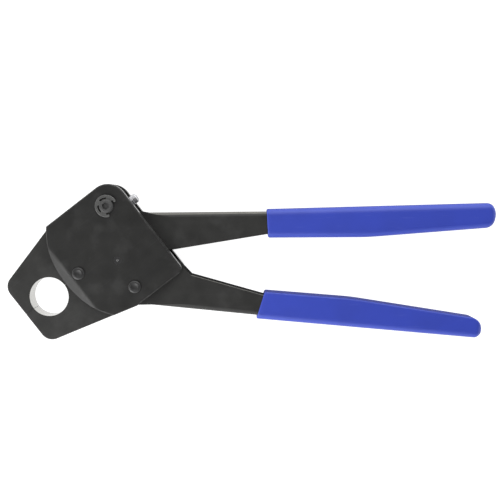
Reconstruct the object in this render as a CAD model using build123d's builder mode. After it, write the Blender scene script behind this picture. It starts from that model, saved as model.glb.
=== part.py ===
from build123d import *
from math import atan2, cos, degrees, hypot, radians, sin, sqrt, tan
from typing import NamedTuple
import os

os.makedirs("parts", exist_ok=True)

# Crimp tool for copper rings on plastic water pipe, lying on its side with the jaws closed.
# The origin is the die's centre at mid thickness, +X runs toward the grips and +Z faces up.
# The head is drawn in its own plane: u along the jaw axis toward the handles, v toward the upper jaw.

# Die and jaws
DIE_RADIUS = 12.25
JAW_THICKNESS = 12.7
JAW_FACE_GAP = 0.2
JAW_FRONT = 18.65
JAW_HALF_WIDTH = 27.3
JAW_FLARE = 15.0
JAW_CORNER = 8.0
JAW_EDGE = 0.5
JAW_SHOULDER_V = 34.7
JAW_BACK_HIGH = (33.5, 21.6)
JAW_BACK_LOW = (36.0, 9.0)
JAW_HEEL_U = 36.5
JAW_HEEL_V = -12.0
HEAD_TURN = 37.5

# Pin places in the head plane
JAW_PIN = (24.7, 0.0)
ANCHOR_PIN = (47.4, -27.9)
HANDLE_PIVOT = (64.4, 22.4)
STOP_PIN = (49.1, -8.4)

# Side plates
PLATE_THICKNESS = 4.75
PLATE_SIDE_GAP = 0.1
PLATE_FRONT = 13.75
PLATE_FRONT_RADIUS = 54.0
PLATE_TOP = 35.15
PLATE_REAR = 78.0
PLATE_BOTTOM = -38.1
PLATE_TOP_CORNER = 11.8
PLATE_REAR_CORNER = 3.5
PLATE_BOTTOM_CORNER = 2.5
PLATE_INSET = 0.2
PLATE_EDGE = 0.7
BEVEL_START = 19.8
BEVEL_ANGLE = 30.0
BEVEL_BLEND = 5.0

# Pins, knuckles and bushings
PIN_RADIUS = 3.6
PIN_HEAD_HEIGHT = 1.2
PIN_HEAD_EDGE = 0.3
PIN_RIM_SHARE = 0.62
PIN_CRATER = 0.45
PIN_END_CHAMFER = 0.6
JAW_PIN_HEAD_RADIUS = 3.85
ANCHOR_PIN_HEAD_RADIUS = 3.9
STOP_PIN_RADIUS = 2.5
STOP_PIN_CHAMFER = 0.12
CENTRE_MARK_RADIUS = 0.75
CENTRE_MARK_DEPTH = 0.9
CENTRE_MARK_TAPER = 30.0
KNUCKLE_RADIUS = 8.5
KNUCKLE_CLEARANCE = 0.35
BUSHING_WALL = 1.0
RUNNING_CLEARANCE = 0.03
SEAT_CLEARANCE = 0.01

# Tongues and the forks that they sit in
TONGUE_THICKNESS = 6.2
FORK_SLOT = 6.6
ANCHOR_TONGUE_RADIUS = 7.5
FORK_CLEARANCE = 0.5

# Drive from the upper handle to the upper jaw
HANDLE_RANGE = 80.0
DRIVE_RATIO = 0.53
CRANK = 18.0
ROLLER_RADIUS = 4.5
DRIVE_PIN_RADIUS = 2.5
YOKE_SLACK = 0.9
YOKE_WALL = 3.4
YOKE_REACH = 36.0
NOSE_RADIUS = 6.4

# Handles
HANDLE_THICKNESS = 12.4
HUB_RADIUS = 10.5
HUB_CORE_RADIUS = 8.2
ARM_OUTER_ROUND = 3.0
ARM_INNER_ROUND = 0.7
ARM_ROUND_FROM = 85.0
ARM_INTO_GRIP = 6.0
BAR_RELIEF = 0.4
BAR_ROUND = 2.0
LUG_START = 60.0
LUG_END = 77.6
LUG_WIDTH = 8.0
LUG_CORNER = 1.6
ROOT_GAP = 0.05
LOWER_ROOT_TOP = (57.5, -15.5)
LOWER_ROOT_REAR = (77.8, -31.0)

# Grips
GRIP_BELLY_RADIUS = 200.0
GRIP_THICKNESS = 14.8
GRIP_ROUND = 4.2
GRIP_LIP = 0.9


class Grip(NamedTuple):
    """One dipped grip, drawn from its open end's outer corner: x along it, y toward the other handle."""

    origin: tuple
    turn: float
    side: int
    length: float
    slant: float
    start_width: float
    belly_at: float
    belly_width: float
    end_width: float
    outer_corner: float
    inner_corner: float
    wall: float
    finger_wall: float


UPPER_GRIP = Grip(
    origin=(136.8, 55.0),
    turn=1.57,
    side=-1,
    length=144.0,
    slant=0.5,
    start_width=18.05,
    belly_at=63.0,
    belly_width=19.45,
    end_width=15.4,
    outer_corner=5.6,
    inner_corner=6.6,
    wall=1.7,
    finger_wall=3.3,
)
LOWER_GRIP = Grip(
    origin=(130.34, -14.28),
    turn=-5.06,
    side=1,
    length=142.8,
    slant=3.8,
    start_width=18.15,
    belly_at=57.0,
    belly_width=18.6,
    end_width=13.3,
    outer_corner=4.8,
    inner_corner=8.3,
    wall=2.25,
    finger_wall=3.15,
)

# Corners of the bars between head and grip, drawn like the grips
UPPER_ARM_OUTER = (-75.3, 0.2)
UPPER_ARM_INNER = (-58.6, 23.65)
UPPER_ARM_HEEL = (-72.0, 25.35)
LOWER_ARM_OUTER = (-69.8, 3.0)
LOWER_ARM_INNER = (-43.6, 24.35)

# Eccentric pin, its clip, bushings and lock screw
ECCENTRICITY = 0.6
ECCENTRIC_RADIUS = 5.5
FRONT_JOURNAL_RADIUS = 4.5
REAR_JOURNAL_RADIUS = 6.2
REAR_HEAD_RADIUS = 8.0
REAR_HEAD_HEIGHT = 2.2
FRONT_END_RADIUS = 4.2
FRONT_END_HEIGHT = 2.1
FRONT_END_CHAMFER = 0.9
CLIP_GROOVE_RADIUS = 3.5
CLIP_THICKNESS = 0.9
CLIP_EDGE = 0.2
CLIP_RADIUS = 6.9
CLIP_BORE = 3.55
CLIP_RING = 1.5
CLIP_CORNER = 0.3
CLIP_TIP_CORNER = 0.8
CLIP_OPENING = 48.0
CLIP_TIP_TO = 66.0
CLIP_TURN = -22.0
CLIP_SLOT_FROM = 108.0
CLIP_SLOT_TO = 163.0
SOCKET_FLATS = 4.0
SOCKET_DEPTH = 1.3
FRONT_BUSHING_WALL = 1.5
REAR_BUSHING_WALL = 1.4
BUSHING_SHOULDER = 1.5
SHOULDER_CLEARANCE = 0.2
WASHER_RADIUS = 9.0
WASHER_BORE = 5.8
WASHER_THICKNESS = 0.6
WASHER_SEAT = 0.45
LOCK_SCREW_RADIUS = 3.0
LOCK_SCREW_OFFSET = 6.1
LOCK_SCREW_INNER = 60.6
LOCK_SCREW_OUTER = 81.8
LOCK_SCREW_CHAMFER = 0.7
LOCK_SOCKET_FLATS = 3.0
LOCK_SOCKET_DEPTH = 3.0
LOCK_POSITIONS = 6

# Worked out from the dimensions above
JAW_HALF = JAW_THICKNESS / 2
TONGUE_HALF = TONGUE_THICKNESS / 2
SLOT_HALF = FORK_SLOT / 2
HANDLE_HALF = HANDLE_THICKNESS / 2
PLATE_INNER = JAW_HALF + PLATE_SIDE_GAP
PLATE_OUTER = PLATE_INNER + PLATE_THICKNESS
FLARE_SLOPE = tan(radians(JAW_FLARE))
JAW_RANGE = HANDLE_RANGE * DRIVE_RATIO
CENTRE_LINE = degrees(atan2(HANDLE_PIVOT[1] - JAW_PIN[1], HANDLE_PIVOT[0] - JAW_PIN[0]))
CENTRE_DISTANCE = hypot(HANDLE_PIVOT[0] - JAW_PIN[0], HANDLE_PIVOT[1] - JAW_PIN[1])
YOKE_ANGLE = CENTRE_LINE + JAW_RANGE / 2
YOKE_SLOT_HALF = ROLLER_RADIUS + YOKE_SLACK
YOKE_HALF = YOKE_SLOT_HALF + YOKE_WALL
YOKE_DEPTH = CENTRE_DISTANCE - CRANK
CRANK_ANGLE = CENTRE_LINE + 180 - HANDLE_RANGE / 2
ROLLER = (
    HANDLE_PIVOT[0] + CRANK * cos(radians(CRANK_ANGLE)),
    HANDLE_PIVOT[1] + CRANK * sin(radians(CRANK_ANGLE)),
)
ECCENTRIC = (HANDLE_PIVOT[0] + ECCENTRICITY, HANDLE_PIVOT[1])
LOCK_SCREW_V = HANDLE_PIVOT[1] - LOCK_SCREW_OFFSET

HEAD = Plane(origin=(0, 0, 0), x_dir=(cos(radians(HEAD_TURN)), sin(radians(HEAD_TURN)), 0), z_dir=(0, 0, 1))


def grip_plane(grip):
    """The drawing plane of a grip: it faces up where the other handle lies toward +Y, and else down."""
    along = (cos(radians(grip.turn)), sin(radians(grip.turn)), 0)
    return Plane(origin=(*grip.origin, 0), x_dir=along, z_dir=(0, 0, grip.side))


UPPER = grip_plane(UPPER_GRIP)
LOWER = grip_plane(LOWER_GRIP)
LOCK_PLANE = Plane(
    origin=HEAD.from_local_coords((LOCK_SCREW_INNER, LOCK_SCREW_V, 0)),
    x_dir=HEAD.z_dir,
    z_dir=HEAD.x_dir,
)
LOCK_SCREW_LENGTH = LOCK_SCREW_OUTER - LOCK_SCREW_INNER


def place(plane, x, y):
    """A point of a drawing plane, in the tool's own frame."""
    return plane.from_local_coords((x, y, 0))


def jaw_edge(u):
    """Distance of the jaw's slanted side from the jaw axis at u."""
    return JAW_HALF_WIDTH + FLARE_SLOPE * u


def finish(piece, label):
    """Names a finished piece and writes it."""
    piece.label = label
    export_step(piece, f"parts/{label}.step")


# Side plates: one outline, with the outer face bevelled toward the die so that the head clears a fitting
plate_heel_u = (-PLATE_BOTTOM - JAW_HALF_WIDTH + PLATE_INSET) / FLARE_SLOPE
plate_arc_centre = PLATE_FRONT + PLATE_FRONT_RADIUS
plate_upper_front = (plate_arc_centre - sqrt(PLATE_FRONT_RADIUS**2 - PLATE_TOP**2), PLATE_TOP)


def plate_lower_front():
    """Where the plate's round front meets its slanted lower edge."""
    base = JAW_HALF_WIDTH - PLATE_INSET
    a = 1 + FLARE_SLOPE**2
    b = base * FLARE_SLOPE - plate_arc_centre
    c = plate_arc_centre**2 + base**2 - PLATE_FRONT_RADIUS**2
    u = (-b - sqrt(b * b - a * c)) / a
    return (u, -(base + FLARE_SLOPE * u))


front_bushing_radius = FRONT_JOURNAL_RADIUS + RUNNING_CLEARANCE + FRONT_BUSHING_WALL
rear_bushing_radius = REAR_JOURNAL_RADIUS + RUNNING_CLEARANCE + REAR_BUSHING_WALL

for label, side, journal_radius, bushing_radius in (
    ("front_side_plate", 1, FRONT_JOURNAL_RADIUS, front_bushing_radius),
    ("rear_side_plate", -1, REAR_JOURNAL_RADIUS, rear_bushing_radius),
):
    with BuildPart() as side_plate:
        with BuildSketch(HEAD.offset(side * PLATE_INNER)):
            with BuildLine():
                edge = Polyline(
                    plate_upper_front,
                    (PLATE_REAR, PLATE_TOP),
                    (PLATE_REAR, PLATE_BOTTOM),
                    (plate_heel_u, PLATE_BOTTOM),
                    plate_lower_front(),
                )
                ThreePointArc(edge @ 1, (PLATE_FRONT, 0), edge @ 0)
            make_face()
            fillet(vertices().sort_by_distance((PLATE_REAR, PLATE_TOP))[0], PLATE_TOP_CORNER)
            fillet(vertices().sort_by_distance((PLATE_REAR, PLATE_BOTTOM))[0], PLATE_REAR_CORNER)
            fillet(vertices().sort_by_distance((plate_heel_u, PLATE_BOTTOM))[0], PLATE_BOTTOM_CORNER)
        extrude(amount=side * PLATE_THICKNESS)
        outer_face = faces().sort_by(Axis.Z)[-1 if side > 0 else 0]
        chamfer(outer_face.edges(), PLATE_EDGE)
        with BuildSketch(Plane(origin=(0, 0, 0), x_dir=HEAD.x_dir, z_dir=-HEAD.y_dir)):
            with BuildLine():
                bevel_front = BEVEL_START - PLATE_TOP
                bevel_drop = (BEVEL_START - bevel_front) * tan(radians(BEVEL_ANGLE))
                Polyline(
                    (BEVEL_START, side * PLATE_OUTER),
                    (bevel_front, side * PLATE_OUTER),
                    (bevel_front, side * (PLATE_OUTER - bevel_drop)),
                    close=True,
                )
            make_face()
        extrude(amount=2 * PLATE_TOP, both=True, mode=Mode.SUBTRACT)
        flat_rims = edges().filter_by(lambda e: abs(abs(e.center().Z) - PLATE_OUTER) < 0.01)
        outer_plane = HEAD.offset(side * PLATE_OUTER)
        bevel_middle = outer_plane.from_local_coords((BEVEL_START, 0, 0))
        fillet(flat_rims.sort_by_distance(bevel_middle)[0], BEVEL_BLEND)
        with BuildSketch(HEAD):
            with Locations(JAW_PIN, ANCHOR_PIN):
                Circle(PIN_RADIUS + SEAT_CLEARANCE)
            with Locations(STOP_PIN):
                Circle(STOP_PIN_RADIUS + SEAT_CLEARANCE)
            with Locations(HANDLE_PIVOT):
                Circle(journal_radius + SHOULDER_CLEARANCE)
        extrude(amount=2 * PLATE_OUTER, both=True, mode=Mode.SUBTRACT)
        with BuildSketch(HEAD.offset(side * PLATE_INNER)):
            with Locations(HANDLE_PIVOT):
                Circle(bushing_radius + SEAT_CLEARANCE)
        extrude(amount=side * (PLATE_THICKNESS - BUSHING_SHOULDER), mode=Mode.SUBTRACT)
    finish(side_plate.part, label)


# Upper jaw: half of the die at full thickness, and a thinner tail with the knuckle and the roller's yoke
with BuildPart() as upper_jaw:
    with BuildSketch(HEAD):
        with BuildLine():
            Polyline(
                (-JAW_FRONT, JAW_FACE_GAP / 2),
                (-JAW_FRONT, jaw_edge(-JAW_FRONT)),
                ((JAW_SHOULDER_V - JAW_HALF_WIDTH) / FLARE_SLOPE, JAW_SHOULDER_V),
                JAW_BACK_HIGH,
                JAW_BACK_LOW,
                (JAW_PIN[0], JAW_FACE_GAP / 2),
                close=True,
            )
        make_face()
        fillet(vertices().sort_by_distance((-JAW_FRONT, jaw_edge(-JAW_FRONT)))[0], JAW_CORNER)
    extrude(amount=JAW_HALF, both=True)
    rims = edges().filter_by(lambda e: abs(abs(e.center().Z) - JAW_HALF) < 0.01)
    outside = rims.filter_by(lambda e: HEAD.to_local_coords(e.center()).Y > 1)
    chamfer(outside, JAW_EDGE)
    with BuildSketch(HEAD):
        Circle(DIE_RADIUS)
    extrude(amount=JAW_THICKNESS, both=True, mode=Mode.SUBTRACT)
    for side in (1, -1):
        with BuildSketch(HEAD.offset(side * TONGUE_HALF)):
            with Locations(JAW_PIN):
                Circle(KNUCKLE_RADIUS + KNUCKLE_CLEARANCE)
        extrude(amount=side * JAW_HALF, mode=Mode.SUBTRACT)
    with BuildSketch(HEAD):
        with Locations(JAW_PIN):
            Circle(KNUCKLE_RADIUS)
        with Locations(Location((JAW_PIN[0], JAW_PIN[1], 0), YOKE_ANGLE)):
            Rectangle(YOKE_REACH, 2 * YOKE_HALF, align=(Align.MIN, Align.CENTER))
        fillet(vertices().group_by(SortBy.DISTANCE)[-1], YOKE_WALL / 2)
    extrude(amount=TONGUE_HALF, both=True)
    with BuildSketch(HEAD):
        with Locations(Location((JAW_PIN[0], JAW_PIN[1], 0), YOKE_ANGLE)):
            with Locations((YOKE_DEPTH, 0)):
                Circle(YOKE_SLOT_HALF)
                Rectangle(YOKE_REACH, 2 * YOKE_SLOT_HALF, align=(Align.MIN, Align.CENTER))
        with Locations(JAW_PIN):
            Circle(PIN_RADIUS + RUNNING_CLEARANCE + BUSHING_WALL + SEAT_CLEARANCE)
    extrude(amount=JAW_THICKNESS, both=True, mode=Mode.SUBTRACT)
finish(upper_jaw.part, "upper_jaw")

# Sleeve in the upper jaw that turns on the jaw pivot pin
with BuildPart() as jaw_bushing:
    with BuildSketch(HEAD):
        with Locations(JAW_PIN):
            Circle(PIN_RADIUS + RUNNING_CLEARANCE + BUSHING_WALL)
            Circle(PIN_RADIUS + RUNNING_CLEARANCE, mode=Mode.SUBTRACT)
    extrude(amount=TONGUE_HALF, both=True)
finish(jaw_bushing.part, "jaw_bushing")

# Lower jaw: half of the die, a forked knuckle round the upper jaw's tail, and a tongue for the anchor pin
heel_edge = -jaw_edge(JAW_HEEL_U)
with BuildPart() as lower_jaw:
    with BuildSketch(HEAD):
        with BuildLine():
            Polyline(
                (-JAW_FRONT, -JAW_FACE_GAP / 2),
                (JAW_PIN[0], -JAW_FACE_GAP / 2),
                (JAW_PIN[0] + KNUCKLE_RADIUS / 2, -KNUCKLE_RADIUS * sqrt(3) / 2),
                (JAW_HEEL_U, JAW_HEEL_V),
                (JAW_HEEL_U, heel_edge),
                (-JAW_FRONT, -jaw_edge(-JAW_FRONT)),
                close=True,
            )
        make_face()
        fillet(vertices().sort_by_distance((-JAW_FRONT, -jaw_edge(-JAW_FRONT)))[0], JAW_CORNER)
    extrude(amount=JAW_HALF, both=True)
    rims = edges().filter_by(lambda e: abs(abs(e.center().Z) - JAW_HALF) < 0.01)
    outside = rims.filter_by(lambda e: HEAD.to_local_coords(e.center()).Y < JAW_HEEL_V + 0.1)
    outside = outside.filter_by(lambda e: HEAD.to_local_coords(e.center()).X < JAW_HEEL_U - 1)
    front_rims = rims.filter_by(lambda e: HEAD.to_local_coords(e.center()).X < 0.1 - JAW_FRONT)
    chamfer(outside + front_rims, JAW_EDGE)
    with BuildSketch(HEAD):
        with Locations(JAW_PIN):
            Circle(KNUCKLE_RADIUS)
    extrude(amount=JAW_HALF, both=True)
    with BuildSketch(HEAD):
        Circle(DIE_RADIUS)
        with Locations(JAW_PIN):
            Circle(PIN_RADIUS + SEAT_CLEARANCE)
    extrude(amount=JAW_THICKNESS, both=True, mode=Mode.SUBTRACT)
    with BuildSketch(HEAD):
        with Locations(JAW_PIN):
            Circle(KNUCKLE_RADIUS + KNUCKLE_CLEARANCE)
            Rectangle(JAW_HEEL_U, 2 * (YOKE_HALF + FORK_CLEARANCE), align=(Align.MIN, Align.CENTER))
    extrude(amount=SLOT_HALF, both=True, mode=Mode.SUBTRACT)
    with BuildSketch(HEAD):
        with Locations(ANCHOR_PIN):
            Circle(ANCHOR_TONGUE_RADIUS)
            Rectangle(
                ANCHOR_PIN[0] - JAW_HEEL_U + 1,
                2 * ANCHOR_TONGUE_RADIUS,
                align=(Align.MAX, Align.CENTER),
            )
            Circle(PIN_RADIUS + SEAT_CLEARANCE, mode=Mode.SUBTRACT)
    extrude(amount=TONGUE_HALF, both=True)
finish(lower_jaw.part, "lower_jaw")

# Riveted pins: a plain shank through both plates, with low heads that are hollow in the middle
head_top = PLATE_OUTER + PIN_HEAD_HEIGHT
for label, place_uv, head_radius in (
    ("jaw_pivot_pin", JAW_PIN, JAW_PIN_HEAD_RADIUS),
    ("handle_anchor_pin", ANCHOR_PIN, ANCHOR_PIN_HEAD_RADIUS),
):
    pin_axis = Axis(place(HEAD, *place_uv), (0, 0, 1))
    rim = head_radius * PIN_RIM_SHARE
    with BuildPart() as riveted_pin:
        with BuildSketch(Plane(origin=pin_axis.position, x_dir=HEAD.x_dir, z_dir=-HEAD.y_dir)):
            with BuildLine():
                shank = Polyline(
                    (0, 0),
                    (PIN_RADIUS, 0),
                    (PIN_RADIUS, PLATE_OUTER),
                    (head_radius, PLATE_OUTER),
                    (head_radius, PLATE_OUTER + PIN_HEAD_EDGE),
                )
                crown = EllipticalCenterArc(
                    (rim, PLATE_OUTER + PIN_HEAD_EDGE),
                    head_radius - rim,
                    PIN_HEAD_HEIGHT - PIN_HEAD_EDGE,
                    arc_size=90,
                )
                crater = TangentArc((0, head_top - PIN_CRATER), crown @ 1, tangent=(1, 0))
                Line(crater @ 0, shank @ 0)
            make_face()
        revolve(axis=pin_axis)
        mirror(about=Plane.XY)
    finish(riveted_pin.part, label)

# Flush dowel that stops the upper jaw's tail when the tool is open
with BuildPart() as stop_pin:
    with BuildSketch(HEAD):
        with Locations(STOP_PIN):
            Circle(STOP_PIN_RADIUS)
    extrude(amount=PLATE_OUTER, both=True)
    chamfer(edges().filter_by(GeomType.CIRCLE), STOP_PIN_CHAMFER)
    for end in (faces().sort_by(Axis.Z)[0], faces().sort_by(Axis.Z)[-1]):
        with BuildSketch(end):
            Circle(CENTRE_MARK_RADIUS)
        extrude(amount=-CENTRE_MARK_DEPTH, taper=CENTRE_MARK_TAPER, mode=Mode.SUBTRACT)
finish(stop_pin.part, "stop_pin")


def inner_edge(grip, x):
    """Width of a grip at x, along the straight stretch from its open end to its belly."""
    slope = (grip.belly_width - grip.start_width) / (grip.belly_at - grip.slant)
    return grip.start_width + slope * (x - grip.slant)


def grip_outline(grip, start, outer=0.0, inner=0.0):
    """Face of a grip from x = start, or of the bar inside it when set in from its outer and inner edges."""
    outer_end = (grip.length - outer, outer)
    inner_end = (grip.length - outer, grip.end_width - inner)
    belly = (grip.belly_at, grip.belly_width - inner)
    with BuildLine() as outline:
        mouth = (start, inner_edge(grip, start) - inner)
        Polyline((start, outer), outer_end, inner_end, belly, mouth, close=True)
    make_face(outline.edges())
    fillet(vertices().sort_by_distance(outer_end)[0], grip.outer_corner - outer)
    fillet(vertices().sort_by_distance(inner_end)[0], grip.inner_corner - inner)
    fillet(vertices().sort_by_distance(belly)[0], GRIP_BELLY_RADIUS)


def round_arm(grip, plane):
    """Rounds an arm's long edges where it stands outside the plates: more on the tool's outer side."""
    for outer, radius in ((True, ARM_OUTER_ROUND), (False, ARM_INNER_ROUND)):
        rims = edges().filter_by(lambda e: abs(abs(e.center().Z) - HANDLE_HALF) < 0.01)
        rims = rims.filter_by(lambda e: e.center().X > ARM_ROUND_FROM and e.length > 2 * HANDLE_THICKNESS)
        middle = grip.start_width / 2
        fillet(rims.filter_by(lambda e: (plane.to_local_coords(e.center()).Y < middle) == outer), radius)


def round_bar(plane):
    """Rounds the edges of the slimmer bar that lies inside a grip, but not those of its root."""
    rims = edges().filter_by(lambda e: abs(abs(e.center().Z) - HANDLE_HALF + BAR_RELIEF) < 0.01)
    fillet(rims.filter_by(lambda e: plane.to_local_coords(e.center()).X > BAR_RELIEF), BAR_ROUND)


# Upper handle: a bar from its grip to a hub on the eccentric pin, with a forked nose for the roller
with BuildPart() as upper_handle:
    with BuildSketch(UPPER):
        grip_outline(UPPER_GRIP, 0, UPPER_GRIP.wall + BAR_RELIEF, UPPER_GRIP.finger_wall + BAR_RELIEF)
    extrude(amount=HANDLE_HALF - BAR_RELIEF, both=True)
    round_bar(UPPER)
    with BuildSketch():
        with BuildLine():
            Polyline(
                place(HEAD, *HANDLE_PIVOT),
                place(UPPER, *UPPER_ARM_OUTER),
                place(UPPER, ARM_INTO_GRIP, UPPER_GRIP.wall),
                place(UPPER, ARM_INTO_GRIP, inner_edge(UPPER_GRIP, ARM_INTO_GRIP) - UPPER_GRIP.finger_wall),
                place(UPPER, *UPPER_ARM_INNER),
                place(UPPER, *UPPER_ARM_HEEL),
                place(HEAD, LUG_START, LOCK_SCREW_V),
                close=True,
            )
        make_face()
    extrude(amount=HANDLE_HALF, both=True)
    round_arm(UPPER_GRIP, UPPER)
    with BuildSketch(HEAD):
        with Locations(HANDLE_PIVOT):
            Circle(HUB_CORE_RADIUS)
        with Locations((LUG_START, LOCK_SCREW_V)):
            Rectangle(LUG_END - LUG_START, LUG_WIDTH, align=(Align.MIN, Align.CENTER))
        fillet(vertices().sort_by(Axis.X)[-2:], LUG_CORNER)
    extrude(amount=HANDLE_HALF, both=True)
    for side in (1, -1):
        with BuildSketch(HEAD.offset(side * SLOT_HALF)):
            with Locations(HANDLE_PIVOT):
                Circle(HUB_RADIUS)
            with Locations(ROLLER):
                Circle(NOSE_RADIUS)
            make_hull()
            with Locations(ROLLER):
                Circle(DRIVE_PIN_RADIUS + SEAT_CLEARANCE, mode=Mode.SUBTRACT)
        extrude(amount=side * (HANDLE_HALF - SLOT_HALF))
    with BuildSketch(HEAD):
        with Locations(ECCENTRIC):
            Circle(ECCENTRIC_RADIUS + SEAT_CLEARANCE)
    extrude(amount=HANDLE_HALF, both=True, mode=Mode.SUBTRACT)
    for side in (1, -1):
        with BuildSketch(HEAD.offset(side * HANDLE_HALF)):
            with Locations(ECCENTRIC):
                Circle(WASHER_RADIUS + SEAT_CLEARANCE)
        extrude(amount=-side * WASHER_SEAT, mode=Mode.SUBTRACT)
    with BuildSketch(LOCK_PLANE):
        Circle(LOCK_SCREW_RADIUS + SEAT_CLEARANCE)
    extrude(amount=LOCK_SCREW_LENGTH, both=True, mode=Mode.SUBTRACT)
finish(upper_handle.part, "upper_handle")

# Lower handle: a bar whose forked root straddles the lower jaw's tongue and butts on the jaw's heel
root_u = JAW_HEEL_U + ROOT_GAP
with BuildPart() as lower_handle:
    with BuildSketch(LOWER):
        grip_outline(LOWER_GRIP, 0, LOWER_GRIP.wall + BAR_RELIEF, LOWER_GRIP.finger_wall + BAR_RELIEF)
    extrude(amount=HANDLE_HALF - BAR_RELIEF, both=True)
    round_bar(LOWER)
    with BuildSketch():
        with BuildLine():
            Polyline(
                place(HEAD, root_u, JAW_HEEL_V),
                place(HEAD, *LOWER_ROOT_TOP),
                place(HEAD, *LOWER_ROOT_REAR),
                place(LOWER, *LOWER_ARM_INNER),
                place(LOWER, ARM_INTO_GRIP, inner_edge(LOWER_GRIP, ARM_INTO_GRIP) - LOWER_GRIP.finger_wall),
                place(LOWER, ARM_INTO_GRIP, LOWER_GRIP.wall),
                place(LOWER, *LOWER_ARM_OUTER),
                place(HEAD, plate_heel_u, PLATE_BOTTOM),
                place(HEAD, root_u, -jaw_edge(root_u)),
                close=True,
            )
        make_face()
    extrude(amount=HANDLE_HALF, both=True)
    round_arm(LOWER_GRIP, LOWER)
    fork_radius = ANCHOR_TONGUE_RADIUS + FORK_CLEARANCE
    with BuildSketch(HEAD):
        with Locations(ANCHOR_PIN):
            Circle(fork_radius)
            Rectangle(ANCHOR_PIN[0], 2 * fork_radius, align=(Align.MAX, Align.CENTER))
    extrude(amount=SLOT_HALF, both=True, mode=Mode.SUBTRACT)
    with BuildSketch(HEAD):
        with Locations(ANCHOR_PIN):
            Circle(PIN_RADIUS + SEAT_CLEARANCE)
    extrude(amount=HANDLE_HALF, both=True, mode=Mode.SUBTRACT)
finish(lower_handle.part, "lower_handle")

# Grips: dipped sleeves with a rounded end, open where the bar goes in
for label, grip, plane, bar in (
    ("upper_grip", UPPER_GRIP, UPPER, upper_handle.part),
    ("lower_grip", LOWER_GRIP, LOWER, lower_handle.part),
):
    with BuildPart() as sleeve:
        with BuildSketch(plane):
            grip_outline(grip, -2 * GRIP_ROUND)
        extrude(amount=GRIP_THICKNESS / 2, both=True)
        fillet(edges().filter_by(lambda e: abs(abs(e.center().Z) - GRIP_THICKNESS / 2) < 0.01), GRIP_ROUND)
        with BuildSketch(plane):
            with BuildLine():
                outer_corner = (0, 0)
                inner_corner = (grip.slant, grip.belly_width)
                spare = -4 * GRIP_ROUND
                Polyline(outer_corner, inner_corner, (spare, grip.belly_width), (spare, 0), close=True)
            make_face()
        extrude(amount=GRIP_THICKNESS, both=True, mode=Mode.SUBTRACT)
        fillet(faces().sort_by(Axis.X)[0].edges(), GRIP_LIP)
        add(bar, mode=Mode.SUBTRACT)
    finish(sleeve.part, label)

# Eccentric pin: journals on the pivot axis, an offset middle that carries the hub, a head and a clip groove
rear_head_face = -PLATE_OUTER - PLATE_SIDE_GAP / 2
clip_groove_end = PLATE_OUTER + CLIP_THICKNESS + PLATE_SIDE_GAP
with BuildPart() as eccentric_pin:
    for low, high, radius, centre in (
        (rear_head_face - REAR_HEAD_HEIGHT, rear_head_face, REAR_HEAD_RADIUS, HANDLE_PIVOT),
        (rear_head_face, -JAW_HALF, REAR_JOURNAL_RADIUS, HANDLE_PIVOT),
        (-JAW_HALF, JAW_HALF, ECCENTRIC_RADIUS, ECCENTRIC),
        (JAW_HALF, PLATE_OUTER, FRONT_JOURNAL_RADIUS, HANDLE_PIVOT),
        (PLATE_OUTER, clip_groove_end, CLIP_GROOVE_RADIUS, HANDLE_PIVOT),
        (clip_groove_end, PLATE_OUTER + FRONT_END_HEIGHT, FRONT_END_RADIUS, HANDLE_PIVOT),
    ):
        with BuildSketch(HEAD.offset(low)):
            with Locations(centre):
                Circle(radius)
        extrude(amount=high - low)
    chamfer(faces().sort_by(Axis.Z)[0].edges(), PIN_END_CHAMFER)
    chamfer(faces().sort_by(Axis.Z)[-1].edges(), FRONT_END_CHAMFER)
    with BuildSketch(faces().sort_by(Axis.Z)[-1]):
        RegularPolygon(SOCKET_FLATS / 2, 6, major_radius=False)
    extrude(amount=-SOCKET_DEPTH, mode=Mode.SUBTRACT)
    with Locations(Plane(origin=place(HEAD, *ECCENTRIC), x_dir=HEAD.x_dir, z_dir=HEAD.z_dir)):
        with PolarLocations(LOCK_SCREW_OFFSET, LOCK_POSITIONS, start_angle=-90):
            Cylinder(
                LOCK_SCREW_RADIUS + PLATE_SIDE_GAP,
                2 * ECCENTRIC_RADIUS,
                rotation=(90, 0, 0),
                mode=Mode.SUBTRACT,
            )
finish(eccentric_pin.part, "eccentric_pin")


def clip_sector(radius, start, end):
    """Cuts a pie slice out of the clip between two angles from the middle of its opening."""
    with BuildLine() as slice_outline:
        arc = CenterArc((0, 0), radius, start, end - start)
        Polyline(arc @ 1, (0, 0), arc @ 0)
    make_face(slice_outline.edges(), mode=Mode.SUBTRACT)


# Open spring clip in the eccentric pin's groove, with three inward fingers
clip_direction = (cos(radians(CLIP_TURN)), sin(radians(CLIP_TURN)), 0)
clip_plane = Plane(origin=place(HEAD, *HANDLE_PIVOT), x_dir=clip_direction, z_dir=(0, 0, 1))
with BuildPart() as e_clip:
    with BuildSketch(clip_plane.offset(PLATE_OUTER + PLATE_SIDE_GAP / 2)):
        Circle(CLIP_RADIUS)
        Circle(CLIP_BORE, mode=Mode.SUBTRACT)
        clip_sector(2 * CLIP_RADIUS, -CLIP_OPENING, CLIP_OPENING)
        for start, end in ((0, CLIP_TIP_TO), (CLIP_SLOT_FROM, CLIP_SLOT_TO)):
            clip_sector(CLIP_RADIUS - CLIP_RING, start, end)
            clip_sector(CLIP_RADIUS - CLIP_RING, -end, -start)
        fillet(vertices().filter_by(lambda v: v.center().length < CLIP_RADIUS - 0.01), CLIP_CORNER)
        fillet(vertices().filter_by(lambda v: v.center().length > CLIP_RADIUS - 0.01), CLIP_TIP_CORNER)
    extrude(amount=CLIP_THICKNESS)
    fillet(faces().sort_by(Axis.Z)[-1].edges(), CLIP_EDGE)
finish(e_clip.part, "e_clip")

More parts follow.
